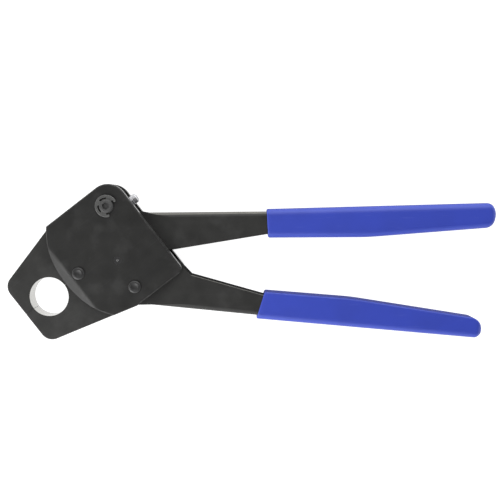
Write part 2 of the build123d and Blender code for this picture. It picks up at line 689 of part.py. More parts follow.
# Plain rings: the plates' pivot bushings, the hub's thrust washers and the roller
front_bore = FRONT_JOURNAL_RADIUS + RUNNING_CLEARANCE
rear_bore = REAR_JOURNAL_RADIUS + RUNNING_CLEARANCE
roller_bore = DRIVE_PIN_RADIUS + RUNNING_CLEARANCE
bushing_low = PLATE_INNER + PLATE_SIDE_GAP / 2
bushing_high = PLATE_OUTER - BUSHING_SHOULDER - PLATE_SIDE_GAP / 2
washer_low = HANDLE_HALF - WASHER_SEAT
washer_high = washer_low + WASHER_THICKNESS
for label, centre, bore, radius, low, high in (
    ("front_pivot_bushing", HANDLE_PIVOT, front_bore, front_bushing_radius, bushing_low, bushing_high),
    ("rear_pivot_bushing", HANDLE_PIVOT, rear_bore, rear_bushing_radius, -bushing_high, -bushing_low),
    ("front_thrust_washer", ECCENTRIC, WASHER_BORE, WASHER_RADIUS, washer_low, washer_high),
    ("rear_thrust_washer", ECCENTRIC, WASHER_BORE, WASHER_RADIUS, -washer_high, -washer_low),
    ("drive_roller", ROLLER, roller_bore, ROLLER_RADIUS, -TONGUE_HALF, TONGUE_HALF),
):
    with BuildPart() as ring:
        with BuildSketch(HEAD.offset(low)):
            with Locations(centre):
                Circle(radius)
                Circle(bore, mode=Mode.SUBTRACT)
        extrude(amount=high - low)
    finish(ring.part, label)

# Pin that carries the roller across the forked nose
with BuildPart() as drive_pin:
    with BuildSketch(HEAD):
        with Locations(ROLLER):
            Circle(DRIVE_PIN_RADIUS)
    extrude(amount=HANDLE_HALF, both=True)
finish(drive_pin.part, "drive_pin")

# Set screw in the hub's lug, which locks the eccentric pin and stands out past the plates' rear edge
with BuildPart() as lock_screw:
    with BuildSketch(LOCK_PLANE):
        Circle(LOCK_SCREW_RADIUS)
    extrude(amount=LOCK_SCREW_LENGTH)
    chamfer(edges().filter_by(GeomType.CIRCLE), LOCK_SCREW_CHAMFER)
    with BuildSketch(LOCK_PLANE.offset(LOCK_SCREW_LENGTH)):
        RegularPolygon(LOCK_SOCKET_FLATS / 2, 6, major_radius=False)
    extrude(amount=-LOCK_SOCKET_DEPTH, mode=Mode.SUBTRACT)
finish(lock_screw.part, "lock_screw")
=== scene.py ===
# %% [markdown]
# A crimp tool for copper rings on plastic water pipe: a black steel head with a round die, and two long
# handles dipped in blue vinyl. The solid model comes in first and stays where it is. Everything below
# only gives it its finishes, the few pieces whose shape a drawing of solids leaves plain, a floor, lights
# and a camera.

# %% Load the solid model
from math import cos, pi, radians, sin

import bmesh
import bpy
from mathutils import Matrix, Vector


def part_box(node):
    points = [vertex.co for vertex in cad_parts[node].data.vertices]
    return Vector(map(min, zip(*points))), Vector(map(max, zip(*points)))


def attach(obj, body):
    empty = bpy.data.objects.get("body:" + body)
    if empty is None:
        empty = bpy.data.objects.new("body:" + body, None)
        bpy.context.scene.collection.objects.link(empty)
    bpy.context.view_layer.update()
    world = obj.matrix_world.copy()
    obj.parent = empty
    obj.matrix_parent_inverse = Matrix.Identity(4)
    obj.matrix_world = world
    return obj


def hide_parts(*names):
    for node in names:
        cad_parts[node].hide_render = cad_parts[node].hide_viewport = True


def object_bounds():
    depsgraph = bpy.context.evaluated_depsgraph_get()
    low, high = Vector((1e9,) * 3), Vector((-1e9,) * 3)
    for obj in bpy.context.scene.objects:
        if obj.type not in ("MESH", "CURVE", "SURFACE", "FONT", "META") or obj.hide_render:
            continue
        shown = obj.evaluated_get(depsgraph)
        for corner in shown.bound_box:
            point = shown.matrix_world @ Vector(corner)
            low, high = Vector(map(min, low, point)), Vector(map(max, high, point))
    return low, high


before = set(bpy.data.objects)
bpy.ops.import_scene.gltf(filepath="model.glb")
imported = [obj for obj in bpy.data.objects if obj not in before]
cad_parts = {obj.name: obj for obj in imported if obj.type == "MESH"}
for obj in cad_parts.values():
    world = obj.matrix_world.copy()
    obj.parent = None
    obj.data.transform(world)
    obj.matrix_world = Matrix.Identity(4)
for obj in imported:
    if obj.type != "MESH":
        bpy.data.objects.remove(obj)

MM = 0.001
cad_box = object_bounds()
print("solid nodes", len(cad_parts), "box in mm", [[round(v / MM, 1) for v in p] for p in cad_box])

# %% [markdown]
# Finishes and node-made shapes are both long sums of sockets. Linking every Math node by hand hides the
# idea, so one small class stands for an output socket and lets Python's own signs add the nodes. With it,
# `1 - mask` or `radius * angle.math("COSINE")` reads like the formula on paper.

# %% A socket that can be used in sums
class Wire:
    """One output socket of a node tree. Sums of wires and numbers add Math nodes to the tree."""

    def __init__(self, tree, socket=None):
        self.tree = tree
        self.socket = socket

    def node(self, kind, settings=None, sockets=None, out=0):
        """Adds a node, sets its settings and then its sockets, and gives one of its outputs."""
        made = self.tree.nodes.new(kind)
        for name, value in (settings or {}).items():
            setattr(made, name, value)
        for name, value in (sockets or {}).items():
            self.feed(made.inputs[name], value)
        return Wire(self.tree, made.outputs[out])

    def feed(self, socket, value):
        """Links a wire to a socket, or sets a plain value on it."""
        if isinstance(value, Wire):
            self.tree.links.new(value.socket, socket)
        else:
            socket.default_value = value

    def math(self, operation, *others):
        """A Math node with this wire as its first value."""
        return self.node("ShaderNodeMath", {"operation": operation}, dict(enumerate((self, *others))))

    def swapped(self, operation, first):
        """A Math node with this wire as its second value."""
        return self.node("ShaderNodeMath", {"operation": operation}, {0: first, 1: self})

    def __add__(self, other):
        return self.math("ADD", other)

    def __radd__(self, other):
        return self.swapped("ADD", other)

    def __sub__(self, other):
        return self.math("SUBTRACT", other)

    def __rsub__(self, other):
        return self.swapped("SUBTRACT", other)

    def __mul__(self, other):
        return self.math("MULTIPLY", other)

    def __rmul__(self, other):
        return self.swapped("MULTIPLY", other)

    def __truediv__(self, other):
        return self.math("DIVIDE", other)

    def __rtruediv__(self, other):
        return self.swapped("DIVIDE", other)

    def ramp(self, low, high):
        """Goes from 0 to 1 as this wire goes from low to high, and stays there."""
        sockets = {"Value": self, "From Min": low, "From Max": high}
        return self.node("ShaderNodeMapRange", {"clamp": True}, sockets)

    def parts(self):
        """The X, Y and Z of a vector wire."""
        split = self.node("ShaderNodeSeparateXYZ", {}, {0: self})
        return [Wire(self.tree, output) for output in split.socket.node.outputs]


print("wire ready, with", len([name for name in vars(Wire) if name.startswith("__r")]), "reflected signs")

# %% [markdown]
# Every finish below starts the same way: a new material, its shader, and the place of each point on the
# object in metres. Object coordinates are used throughout, because they stay put when a handle swings.
# The way a surface faces is the second thing to know: it tells level faces from walls, and both from the
# narrow slanted edges between them, without painting a mask by hand.

# %% Where a point is and how it faces
def start_finish(name):
    """A new material, a wire to add nodes with, and its shader node."""
    material = bpy.data.materials.new(name)
    material.use_nodes = True
    return material, Wire(material.node_tree), material.node_tree.nodes["Principled BSDF"]


def object_place(wire):
    """Where a point is, in metres in the tool's frame."""
    return wire.node("ShaderNodeTexCoord", out="Object")


def facing(wire):
    """The X, Y and Z of the way a point's surface faces."""
    return wire.node("ShaderNodeTexCoord", out="Normal").parts()


def levelness(wire):
    """How level a surface is: 0 on a wall and 1 on a face that looks straight up or down."""
    return facing(wire)[2].math("ABSOLUTE")


print("a finish can ask for place, facing and levelness")

# %% [markdown]
# Noise is the raw stuff of most finishes, so it gets a helper whose size is given in millimetres. Colours
# are mixed by a Mix node, since a Math node would turn them grey, and small relief is left to a Bump node.

# %% Noise, colours and relief
MIX_SHARE = 0
MIX_FIRST = 6
MIX_SECOND = 7
MIX_COLOUR = 2


def grain(place, size_mm, detail=3.0, stretch=(1, 1, 1), turn=0.0):
    """Soft noise with features of about this size, stretched and turned where the metal was rubbed."""
    turned = place.node(
        "ShaderNodeMapping",
        {"vector_type": "TEXTURE"},
        {"Vector": place, "Rotation": (0, 0, turn), "Scale": tuple(size_mm * MM * s for s in stretch)},
    )
    return place.node("ShaderNodeTexNoise", {}, {"Vector": turned, "Scale": 1.0, "Detail": detail})


def blend_colours(share, first, second):
    """A colour that goes from the first to the second as share goes from 0 to 1."""
    sockets = {MIX_SHARE: share, MIX_FIRST: first, MIX_SECOND: second}
    return share.node("ShaderNodeMix", {"data_type": "RGBA"}, sockets, out=MIX_COLOUR)


def grey(value):
    """A neutral colour."""
    return (value, value, value, 1)


def relief(wire, height, depth_mm):
    """A bump normal from a height of 0 to 1."""
    return wire.node("ShaderNodeBump", {}, {"Strength": 1.0, "Distance": depth_mm * MM, "Height": height})


print("a grain of 1 mm is", 1 * MM, "m in the tool's frame")

# %% [markdown]
# The head and handles are steel with a black oxide finish: a thin dark skin that is matt, a little cloudy
# where the bath took unevenly, and rubbed to a lighter grey in small spots along its edges. A flat dark
# colour would look like plastic, so the skin gets cloudy patches, a fine tooth and faint rub marks.
# The plates are cut from sheet, and the black takes less well on the cut walls, so these are barer than the
# faces. On the handles the edges that face the back are paler. This is partly skin rubbed bare and partly a
# painted highlight, where the light from behind catches them.

# %% Tones of the black skin
HEAD_TURN = radians(37.5)
BLACK = 0.0078
BLACK_LIGHT = 0.0125
WARM_GREEN = 0.99
WARM_BLUE = 0.94
WORN = 0.11
BARE_WALL = 0.16
# Pale tone of the edges that face the back: partly steel rubbed bare, partly a painted highlight.
REAR_EDGE_WEAR_AND_HIGHLIGHT = (0.15, 0.145, 0.13, 1)
OXIDE_ROUGHNESS = 0.4
OXIDE_GLOSS = 0.31


def oxide(tone):
    """The slightly warm black of an oiled oxide skin."""
    return (tone, tone * WARM_GREEN, tone * WARM_BLUE, 1)


print("black skin from", oxide(BLACK)[:3], "to", oxide(BLACK_LIGHT)[:3])

# %% [markdown]
# Each mark on the skin is a noise of its own size, and a range of that noise says how much of it shows: a
# high range leaves a few spots, and a range about the middle leaves broad patches. The last ranges part
# walls, slanted edges and faces by how level a surface is.

# %% Marks on the black skin
CLOUD_MM = 9
CLOUD_RANGE = (0.3, 0.7)
SMUDGE_MM = 13
SMUDGE_RANGE = (0.54, 0.7)
SMUDGE_SHARE = 0.08
RUB_MM = 0.6
RUB_STRETCH = (30, 1, 30)
RUB_RANGE = (0.62, 0.8)
RUB_SHARE = 0.05
WEAR_MM = 1.6
WEAR_RANGE = (0.5, 0.66)
WEAR_SHARE = 0.12
TOOTH_MM = 0.3
SKIN_RELIEF_MM = 0.012
WALL_UP_TO = (0.05, 0.12)
EDGE_FROM = (0.12, 0.4)
EDGE_UP_TO = (0.74, 0.82)
REARWARD = (0.15, 0.4)
print("clouds of", CLOUD_MM, "mm, smudges of", SMUDGE_MM, "mm, a tooth of", TOOTH_MM, "mm")


# %% Blackened steel
def blackened_steel(name, rub_turn, tone=1.0, bare_walls=0.0, rear_wear_and_highlight=0.0):
    """Black oxide on steel, rubbed along one direction; gives the wire and shader for additions."""
    material, wire, shader = start_finish(name)
    place = object_place(wire)
    clouds = grain(place, CLOUD_MM, detail=4)
    smudges = grain(place, SMUDGE_MM, detail=6).ramp(*SMUDGE_RANGE)
    tooth = grain(place, TOOTH_MM, detail=2)
    rubs = grain(place, RUB_MM, detail=2, stretch=RUB_STRETCH, turn=rub_turn).ramp(*RUB_RANGE)
    level = levelness(wire)
    edge = level.ramp(*EDGE_FROM) * (1 - level.ramp(*EDGE_UP_TO))
    worn = edge * grain(place, WEAR_MM, detail=4).ramp(*WEAR_RANGE)
    bare = (1 - level.ramp(*WALL_UP_TO)) * bare_walls
    # Painted highlight on the slanted edges that face the back, where the light from behind catches them,
    # with some real rubbing.
    rear_wear_and_highlight_mask = edge * facing(wire)[1].ramp(*REARWARD) * (0.6 + clouds * 0.8) * rear_wear_and_highlight
    skin = blend_colours(clouds.ramp(*CLOUD_RANGE), oxide(BLACK * tone), oxide(BLACK_LIGHT * tone))
    skin = blend_colours(rubs * RUB_SHARE + smudges * SMUDGE_SHARE, skin, grey(WORN))
    skin = blend_colours(worn * WEAR_SHARE, skin, grey(WORN))
    skin = blend_colours(rear_wear_and_highlight_mask, skin, REAR_EDGE_WEAR_AND_HIGHLIGHT)
    roughness = OXIDE_ROUGHNESS + clouds * 0.14 + tooth * 0.06 - worn * 0.1 - bare * 0.2
    wire.feed(shader.inputs["Base Color"], blend_colours(bare, skin, grey(BARE_WALL)))
    wire.feed(shader.inputs["Metallic"], bare)
    wire.feed(shader.inputs["Roughness"], roughness)
    wire.feed(shader.inputs["Normal"], relief(wire, tooth * 0.7 + clouds * 0.3, SKIN_RELIEF_MM))
    shader.inputs["Specular IOR Level"].default_value = OXIDE_GLOSS
    return material, wire, shader


plate_finish = blackened_steel("black_plate_steel", HEAD_TURN, bare_walls=0.8)[0]
print("plate finish with", len(plate_finish.node_tree.nodes), "nodes")

# %% [markdown]
# The handles are rolled bar. Their long walls are painted darker than the faces and have no gloss: painted
# shade, for the shade that lies along the bars' walls. A rougher gloss would still brighten at a low angle,
# so the walls get a second shader with no gloss at all, laid over the first by a Mix Shader.

# %% Painted shade on the handles' walls
HANDLE_TURN = radians(2)
# Dark tones of the painted shade on the handles' walls.
WALL_SHADE = 0.003
WALL_SHADE_LIGHT = 0.009
WALL_SHADE_SHARE = 0.9


def shade_painted_walls(material, wire, shader):
    """Lays a dark, glossless painted shade over the walls of a blackened bar."""
    # Painted shade: the walls are darkened and lose their gloss, where shade falls along the bars.
    wall = 1 - levelness(wire).ramp(*WALL_UP_TO)
    patches = grain(object_place(wire), CLOUD_MM, detail=4)
    tone = blend_colours(patches, grey(WALL_SHADE), grey(WALL_SHADE_LIGHT))
    dull = {"Base Color": tone, "Roughness": 1.0, "Specular IOR Level": 0.0}
    painted_shade = wire.node("ShaderNodeBsdfPrincipled", {}, dull)
    layers = {0: wall * WALL_SHADE_SHARE, 1: Wire(wire.tree, shader.outputs[0]), 2: painted_shade}
    surface = material.node_tree.nodes["Material Output"].inputs["Surface"]
    wire.feed(surface, wire.node("ShaderNodeMixShader", {}, layers))
    return material


handle_skin = blackened_steel("black_handle_steel", HANDLE_TURN, tone=1.5, rear_wear_and_highlight=0.8)
handle_finish = shade_painted_walls(*handle_skin)
print("handle finish", handle_finish.name)

# %% [markdown]
# The jaws have the same skin, but the round die that meets the copper ring is bored bright. The die's wall
# is the only place on a jaw that is this near to the die's axis, so the distance from the axis is the mask.
# Fine rings round the bore are the boring tool's path.

# %% Jaws with a bright die
DIE_RADIUS = 12.25
DIE_MASK = (DIE_RADIUS + 0.03, DIE_RADIUS + 0.1)
BORE_STEP = 0.22
BORED_STEEL = (0.49, 0.485, 0.465, 1)
BORED_ROUGHNESS = 0.2


def bright_die(wire, shader):
    """Mixes bored bright steel over the black skin inside the die."""
    x, y, z = object_place(wire).parts()
    distance = (x * x + y * y).math("SQRT")
    bore = 1 - distance.ramp(*(radius * MM for radius in DIE_MASK))
    lines = (z * (2 * pi / (BORE_STEP * MM))).math("SINE") * 0.5 + 0.5
    black = Wire(wire.tree, shader.inputs["Base Color"].links[0].from_socket)
    rough = Wire(wire.tree, shader.inputs["Roughness"].links[0].from_socket)
    wire.feed(shader.inputs["Base Color"], blend_colours(bore, black, BORED_STEEL))
    wire.feed(shader.inputs["Roughness"], rough * (1 - bore) + bore * (BORED_ROUGHNESS + lines * 0.1))
    wire.feed(shader.inputs["Metallic"], bore)


jaw_finish, jaw_wire, jaw_shader = blackened_steel("black_jaw_steel", HEAD_TURN, tone=1.5)
bright_die(jaw_wire, jaw_shader)
print("die wall", DIE_RADIUS * 2, "mm across")

# %% [markdown]
# The grips are soft vinyl, dipped over the bars and cured. The walls are painted a deeper blue, as painted
# shade, and the rounded edges a paler blue, as a painted highlight. A fine orange-peel relief breaks up the
# highlight, and there are a few paler scuffs.

# %% Tones of the vinyl
VINYL = (0.0245, 0.0465, 0.36, 1)
VINYL_DEEP = (0.021, 0.041, 0.325, 1)
# Painted shade on the grips' walls and a painted highlight on their rounded edges.
VINYL_WALL_SHADE = (0.009, 0.018, 0.18, 1)
VINYL_EDGE_HIGHLIGHT = (0.045, 0.08, 0.48, 1)
VINYL_SCUFF = (0.07, 0.10, 0.43, 1)
VINYL_ROUGHNESS = 0.46
VINYL_GLOSS = 0.4
RUN_MM = 22
RUN_RANGE = (0.35, 0.65)
SCUFF_MM = 1.4
SCUFF_STRETCH = (9, 1, 3)
SCUFF_RANGE = (0.63, 0.74)
SCUFF_SHARE = 0.2
PEEL_MM = 1.1
PEEL_RELIEF_MM = 0.02
WALL_SHADE_UP_TO = (0.15, 0.5)
EDGE_HIGHLIGHT_FROM = (0.2, 0.5)
EDGE_HIGHLIGHT_UP_TO = (0.85, 0.98)
EDGE_HIGHLIGHT_SHARE = 0.5
print("vinyl", VINYL[:3], "and", VINYL_WALL_SHADE[:3], "on the walls")


# %% Dipped vinyl
def dipped_vinyl():
    """Blue dipped vinyl with an orange-peel surface."""
    material, wire, shader = start_finish("blue_dipped_vinyl")
    place = object_place(wire)
    runs = grain(place, RUN_MM, detail=2).ramp(*RUN_RANGE)
    scuffs = grain(place, SCUFF_MM, detail=5, stretch=SCUFF_STRETCH).ramp(*SCUFF_RANGE)
    peel = grain(place, PEEL_MM, detail=1)
    level = levelness(wire)
    # Painted shade darkens the walls; a painted highlight lightens the rounded edges.
    wall = 1 - level.ramp(*WALL_SHADE_UP_TO)
    edge = level.ramp(*EDGE_HIGHLIGHT_FROM) * (1 - level.ramp(*EDGE_HIGHLIGHT_UP_TO))
    skin = blend_colours(runs, VINYL, VINYL_DEEP)
    skin = blend_colours(wall, skin, VINYL_WALL_SHADE)
    skin = blend_colours(edge * EDGE_HIGHLIGHT_SHARE, skin, VINYL_EDGE_HIGHLIGHT)
    roughness = VINYL_ROUGHNESS + scuffs * 0.12 + runs * 0.05 + wall * 0.4
    wire.feed(shader.inputs["Base Color"], blend_colours(scuffs * SCUFF_SHARE, skin, VINYL_SCUFF))
    wire.feed(shader.inputs["Roughness"], roughness)
    wire.feed(shader.inputs["Normal"], relief(wire, peel, PEEL_RELIEF_MM))
    shader.inputs["Specular IOR Level"].default_value = VINYL_GLOSS
    return material


vinyl_finish = dipped_vinyl()
print("grip finish", vinyl_finish.name)

# %% [markdown]
# Pins, bushings, washers and the roller are all turned on a lathe, which leaves fine rings about their own
# axis. One function makes the finish for any of them from its tone and the place of its axis. A sine of the
# distance from that axis gives the rings, and a little noise added to the distance keeps them from being
# perfect circles.

# %% Turned metal
BRIGHT_CORE = 0.4
CORE_BLEND = 0.05
RING_MM = 0.25
RING_RELIEF_MM = 0.004
WANDER_MM = 3
WANDER_TURN = 4
PATCH_MM = 2.2
PATCH_RANGE = (0.35, 0.7)
DULLED = 0.7
SLOPE_FROM = (0.1, 0.35)
SLOPE_UP_TO = (0.8, 0.97)


def middle(node):
    """The middle of a solid node's box."""
    low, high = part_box(node)
    return (low + high) / 2


def turned_metal(name, node, colour, roughness, metallic=1.0, ring_mm=RING_MM, core_mm=0.0, rim=0.0):
    """Metal with lathe rings about a node's upright axis, and a rim and a bright core of their own tone."""
    material, wire, shader = start_finish(name)
    place = object_place(wire)
    axis_at = middle(node)
    x, y = place.parts()[:2]
    across = x - axis_at.x
    along = y - axis_at.y
    distance = (across * across + along * along).math("SQRT")
    wander = grain(place, WANDER_MM) * WANDER_TURN
    rings = (distance * (2 * pi / (ring_mm * MM)) + wander).math("SINE") * 0.5 + 0.5
    patches = grain(place, PATCH_MM, detail=4)
    core = 1 - distance.ramp((core_mm - CORE_BLEND) * MM, (core_mm + CORE_BLEND) * MM)
    level = levelness(wire)
    sloping = level.ramp(*SLOPE_FROM) * (1 - level.ramp(*SLOPE_UP_TO))
    dull = tuple(DULLED * c for c in colour[:3]) + (1,)
    surface = blend_colours(patches.ramp(*PATCH_RANGE), colour, dull)
    # The sloping rim takes its own lighter tone: partly wear, partly a painted highlight.
    surface = blend_colours(sloping * (0.5 + patches * 0.5), surface, grey(rim) if rim else colour)
    wire.feed(shader.inputs["Base Color"], blend_colours(core, surface, grey(BRIGHT_CORE)))
    wire.feed(shader.inputs["Metallic"], core * (1 - metallic) + metallic)
    wire.feed(shader.inputs["Roughness"], roughness + rings * 0.08 + patches * 0.1)
    wire.feed(shader.inputs["Normal"], relief(wire, rings, RING_RELIEF_MM))
    return material


print("one ring every", RING_MM, "mm")

# %% [markdown]
# The pins that show are blackened, and their rims are a little lighter: partly rubbing, partly a painted
# highlight. The stop pin's centre mark was drilled after blackening, so its middle is bright. The clip is
# stamped from spring steel with a grey phosphate coat, which holds oil against rust; its stamped rim is
# paler, partly as a painted highlight.

# %% Pins and clip
DARK_PIN = (0.007, 0.007, 0.0073, 1)
DARK_ROUGHNESS = 0.4
PIN_RIM = 0.03
CENTRE_MARK = 0.7
GREY_PIN = (0.042, 0.042, 0.042, 1)
GREY_ROUGHNESS = 0.5
GREY_CLIP = (0.066, 0.066, 0.064, 1)
CLIP_ROUGHNESS = 0.4
CLIP_RIM = 0.2
CLIP_RING_MM = 0.5
dark_pin = {"colour": DARK_PIN, "roughness": DARK_ROUGHNESS, "metallic": 0.0, "rim": PIN_RIM}
grey_pin = {"colour": GREY_PIN, "roughness": GREY_ROUGHNESS, "metallic": 0.0}
grey_clip = {"colour": GREY_CLIP, "roughness": CLIP_ROUGHNESS, "metallic": 0.0, "rim": CLIP_RIM}
turned = {
    "jaw_pivot_pin": turned_metal("dark_jaw_pin", "jaw_pivot_pin", **dark_pin),
    "handle_anchor_pin": turned_metal("dark_anchor_pin", "handle_anchor_pin", **dark_pin),
    "stop_pin": turned_metal("dark_stop_pin", "stop_pin", core_mm=CENTRE_MARK, **dark_pin),
    "eccentric_pin": turned_metal("grey_eccentric_pin", "eccentric_pin", **grey_pin),
    "e_clip": turned_metal("grey_clip", "eccentric_pin", ring_mm=CLIP_RING_MM, **grey_clip),
}
print("pins and clip", len(turned))

# %% [markdown]
# Inside the head, what rolls or slides is ground bright, and what carries a pin is oiled bronze. Little of
# it shows from outside, but each piece has a finish of its own for a view of the head taken apart.

# %% Running parts
GROUND = (0.5, 0.5, 0.5, 1)
ROLLING_ROUGHNESS = 0.25
SLIDING_ROUGHNESS = 0.35
BRONZE = (0.46, 0.27, 0.11, 1)
BRONZE_ROUGHNESS = 0.4
running = {
    "drive_pin": ("ground_drive_pin", GROUND, ROLLING_ROUGHNESS),
    "drive_roller": ("ground_drive_roller", GROUND, ROLLING_ROUGHNESS),
    "front_thrust_washer": ("ground_front_washer", GROUND, SLIDING_ROUGHNESS),
    "rear_thrust_washer": ("ground_rear_washer", GROUND, SLIDING_ROUGHNESS),
    "jaw_bushing": ("bronze_jaw_bushing", BRONZE, BRONZE_ROUGHNESS),
    "front_pivot_bushing": ("bronze_front_bushing", BRONZE, BRONZE_ROUGHNESS),
    "rear_pivot_bushing": ("bronze_rear_bushing", BRONZE, BRONZE_ROUGHNESS),
}
for node, (name, colour, roughness) in running.items():
    turned[node] = turned_metal(name, node, colour, roughness)
print("turned finishes", len(turned))

# %% [markdown]
# Each solid keeps its mesh and takes one finish. The two grips and the lock screw are left out here, because
# the pieces made further down stand in for them.

# %% Dress the solid nodes
finishes = {
    "front_side_plate": plate_finish,
    "rear_side_plate": plate_finish,
    "upper_handle": handle_finish,
    "lower_handle": handle_finish,
    "upper_jaw": jaw_finish,
    "lower_jaw": jaw_finish,
    **turned,
}
for node, material in finishes.items():
    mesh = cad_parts[node].data
    mesh.materials.clear()
    mesh.materials.append(material)
print("dressed", len(finishes), "solid nodes")

# %% [markdown]
# Two kinds of piece follow a rule that is easier to write as a formula than to draw: the dipped grips and
# the lock screw's thread. Both are a flat grid bent into a closed skin. One side of the grid runs round the
# piece and the other runs along it, so a point's two shares, each from 0 to 1, are all that a formula needs.
# The tree takes its sizes as named inputs and closes the seam where the grid meets itself.

# %% A grid bent into a closed skin
SEAM = 0.001 * MM


def stretches(along, rows):
    """How far a point is through each stretch of rows, from 0 to 1."""
    ends = [sum(rows[:count]) / sum(rows) for count in range(len(rows) + 1)]
    return [along.ramp(low, high) for low, high in zip(ends, ends[1:])]


def skin_tree(name, sizes, columns, rows, shape):
    """A node tree that bends a grid into a closed skin; shape gives a point's X, Y and Z."""
    tree = bpy.data.node_groups.new(name, "GeometryNodeTree")
    for size in sizes:
        tree.interface.new_socket(size, in_out="INPUT", socket_type="NodeSocketFloat")
    tree.interface.new_socket("Material", in_out="INPUT", socket_type="NodeSocketMaterial")
    tree.interface.new_socket("Skin", in_out="OUTPUT", socket_type="NodeSocketGeometry")
    wire = Wire(tree)
    given = wire.node("NodeGroupInput").socket.node.outputs
    grid = wire.node("GeometryNodeMeshGrid", {}, {"Vertices X": columns + 1, "Vertices Y": sum(rows) + 1})
    around, along = Wire(tree, grid.socket.node.outputs["UV Map"]).parts()[:2]
    point = shape({size: Wire(tree, given[size]) for size in sizes}, around, stretches(along, rows))
    position = wire.node("ShaderNodeCombineXYZ", {}, dict(enumerate(point)))
    bent = wire.node("GeometryNodeSetPosition", {}, {"Geometry": grid, "Position": position})
    closed = wire.node("GeometryNodeMergeByDistance", {}, {"Geometry": bent, "Distance": SEAM})
    smooth = wire.node("GeometryNodeSetShadeSmooth", {}, {0: closed})
    real = wire.node("GeometryNodeRealizeInstances", {}, {"Geometry": smooth})
    sockets = {"Geometry": real, "Material": Wire(tree, given["Material"])}
    finished = wire.node("GeometryNodeSetMaterial", {}, sockets)
    wire.feed(tree.nodes.new("NodeGroupOutput").inputs["Skin"], finished)
    print(name, "tree with", len(sizes), "sizes and", len(tree.nodes), "nodes")
    return tree


print("seams close within", SEAM / MM, "mm")

# %% [markdown]
# A tree is worked out once and kept as a plain mesh, in the tool's own frame, so that the piece needs no
# modifier afterwards. Bending a grid can leave its faces looking inward, so they are all turned out.

# %% A tree's skin as a plain mesh
def face_outward(mesh):
    """Turns every face of a closed mesh to face out."""
    work = bmesh.new()
    work.from_mesh(mesh)
    bmesh.ops.recalc_face_normals(work, faces=work.faces)
    open_edges = sum(1 for edge in work.edges if not edge.is_manifold)
    work.to_mesh(mesh)
    work.free()
    print(mesh.name, len(mesh.polygons), "faces,", open_edges, "open edges")


def grow(name, tree, values, place):
    """A plain mesh object of a tree's skin with these inputs, in its place in the tool's frame."""
    piece = bpy.data.objects.new(name, bpy.data.meshes.new(name))
    bpy.context.scene.collection.objects.link(piece)
    modifier = piece.modifiers.new("skin", "NODES")
    modifier.node_group = tree
    for item in tree.interface.items_tree:
        if item.in_out == "INPUT":
            modifier[item.identifier] = values[item.name]
    shown = bpy.context.evaluated_depsgraph_get()
    mesh = bpy.data.meshes.new_from_object(piece.evaluated_get(shown), depsgraph=shown)
    piece.modifiers.clear()
    piece.data = mesh
    mesh.transform(place)
    face_outward(mesh)
    return piece


print("skins are kept as plain meshes, each at the origin of the tool's frame")

# %% [markdown]
# A dipped grip is what is left on a bar that was lowered into liquid vinyl and drawn out: a sleeve whose
# section is a rectangle with soft corners. The section is a walk round that rectangle: each corner turns the
# way a point faces by a quarter, and each side carries it from one corner's middle to the next. The corners
# on the finger side may be sharper than those on the outer side. A superellipse would be shorter to write,
# but its sides bulge, and a dipped bar's sides are flat.

# %% The section of a grip
CORNER_COLUMNS = 8
FACE_COLUMNS = 12
SIDE_COLUMNS = 8
GRIP_COLUMNS = (CORNER_COLUMNS, FACE_COLUMNS, CORNER_COLUMNS, SIDE_COLUMNS) * 2


def soft_rectangle(around, half_width, half_thickness, inner_round, outer_round):
    """A point on a rectangle with soft corners, as its two places across the section."""
    corner_1, top, corner_2, left, corner_3, bottom, corner_4, right = stretches(around, GRIP_COLUMNS)
    outward = top * (1 - bottom)
    corner = inner_round + (outer_round - inner_round) * outward
    turn = (corner_1 + corner_2 + corner_3 + corner_4) * (pi / 2)
    core_y = half_width - inner_round - (2 * half_width - inner_round - outer_round) * outward
    core_z = (half_thickness - corner) * (1 - 2 * left + 2 * right)
    return core_y + corner * turn.math("COSINE"), core_z + corner * turn.math("SINE")


print("columns round a grip", sum(GRIP_COLUMNS))

# %% [markdown]
# Seen from above, the finger side rises to a belly and falls again, so it is the lower of two slanted lines,
# with their meeting point blended. Both corners of the far end are rounded: a circle tells how far the side
# is held in as a point comes near the end.

# %% The outline of a grip
BELLY_BLEND = 0.72 * MM


def finger_side(size, x):
    """Width of the grip at x: a straight rise to the belly and a straight fall after it."""
    rise = (size["Belly width"] - size["Start width"]) / (size["Belly at"] - size["Slant"])
    fall = (size["End width"] - size["Belly width"]) / (size["Length"] - size["Belly at"])
    from_belly = x - size["Belly at"]
    rising = size["Belly width"] + rise * from_belly
    falling = size["Belly width"] + fall * from_belly
    return rising.math("SMOOTH_MIN", falling, BELLY_BLEND)


def corner_side(size, inset, x, length):
    """How far a rounded corner of this size holds the side of a section in from the sharp outline."""
    past = (x - (length - size)).math("MAXIMUM", 0)
    left = size - inset
    return size - (left * left - past * past).math("MAXIMUM", 0).math("SQRT")


print("belly blended over", round(BELLY_BLEND / MM, 2), "mm")

# %% [markdown]
# Along the grip, the formula walks up the lining, over the rolled lip and down the outside to the rounded
# end where the last drop hung. Rows are set closer toward the end, where the shape turns fastest. A little
# slow noise keeps the skin from being as true as a machined face.

# %% A point of a grip
RIPPLE_SIZE = 14 * MM


def eased(share):
    """Goes from 0 to 1 with ever smaller steps."""
    return share * (2 - share)


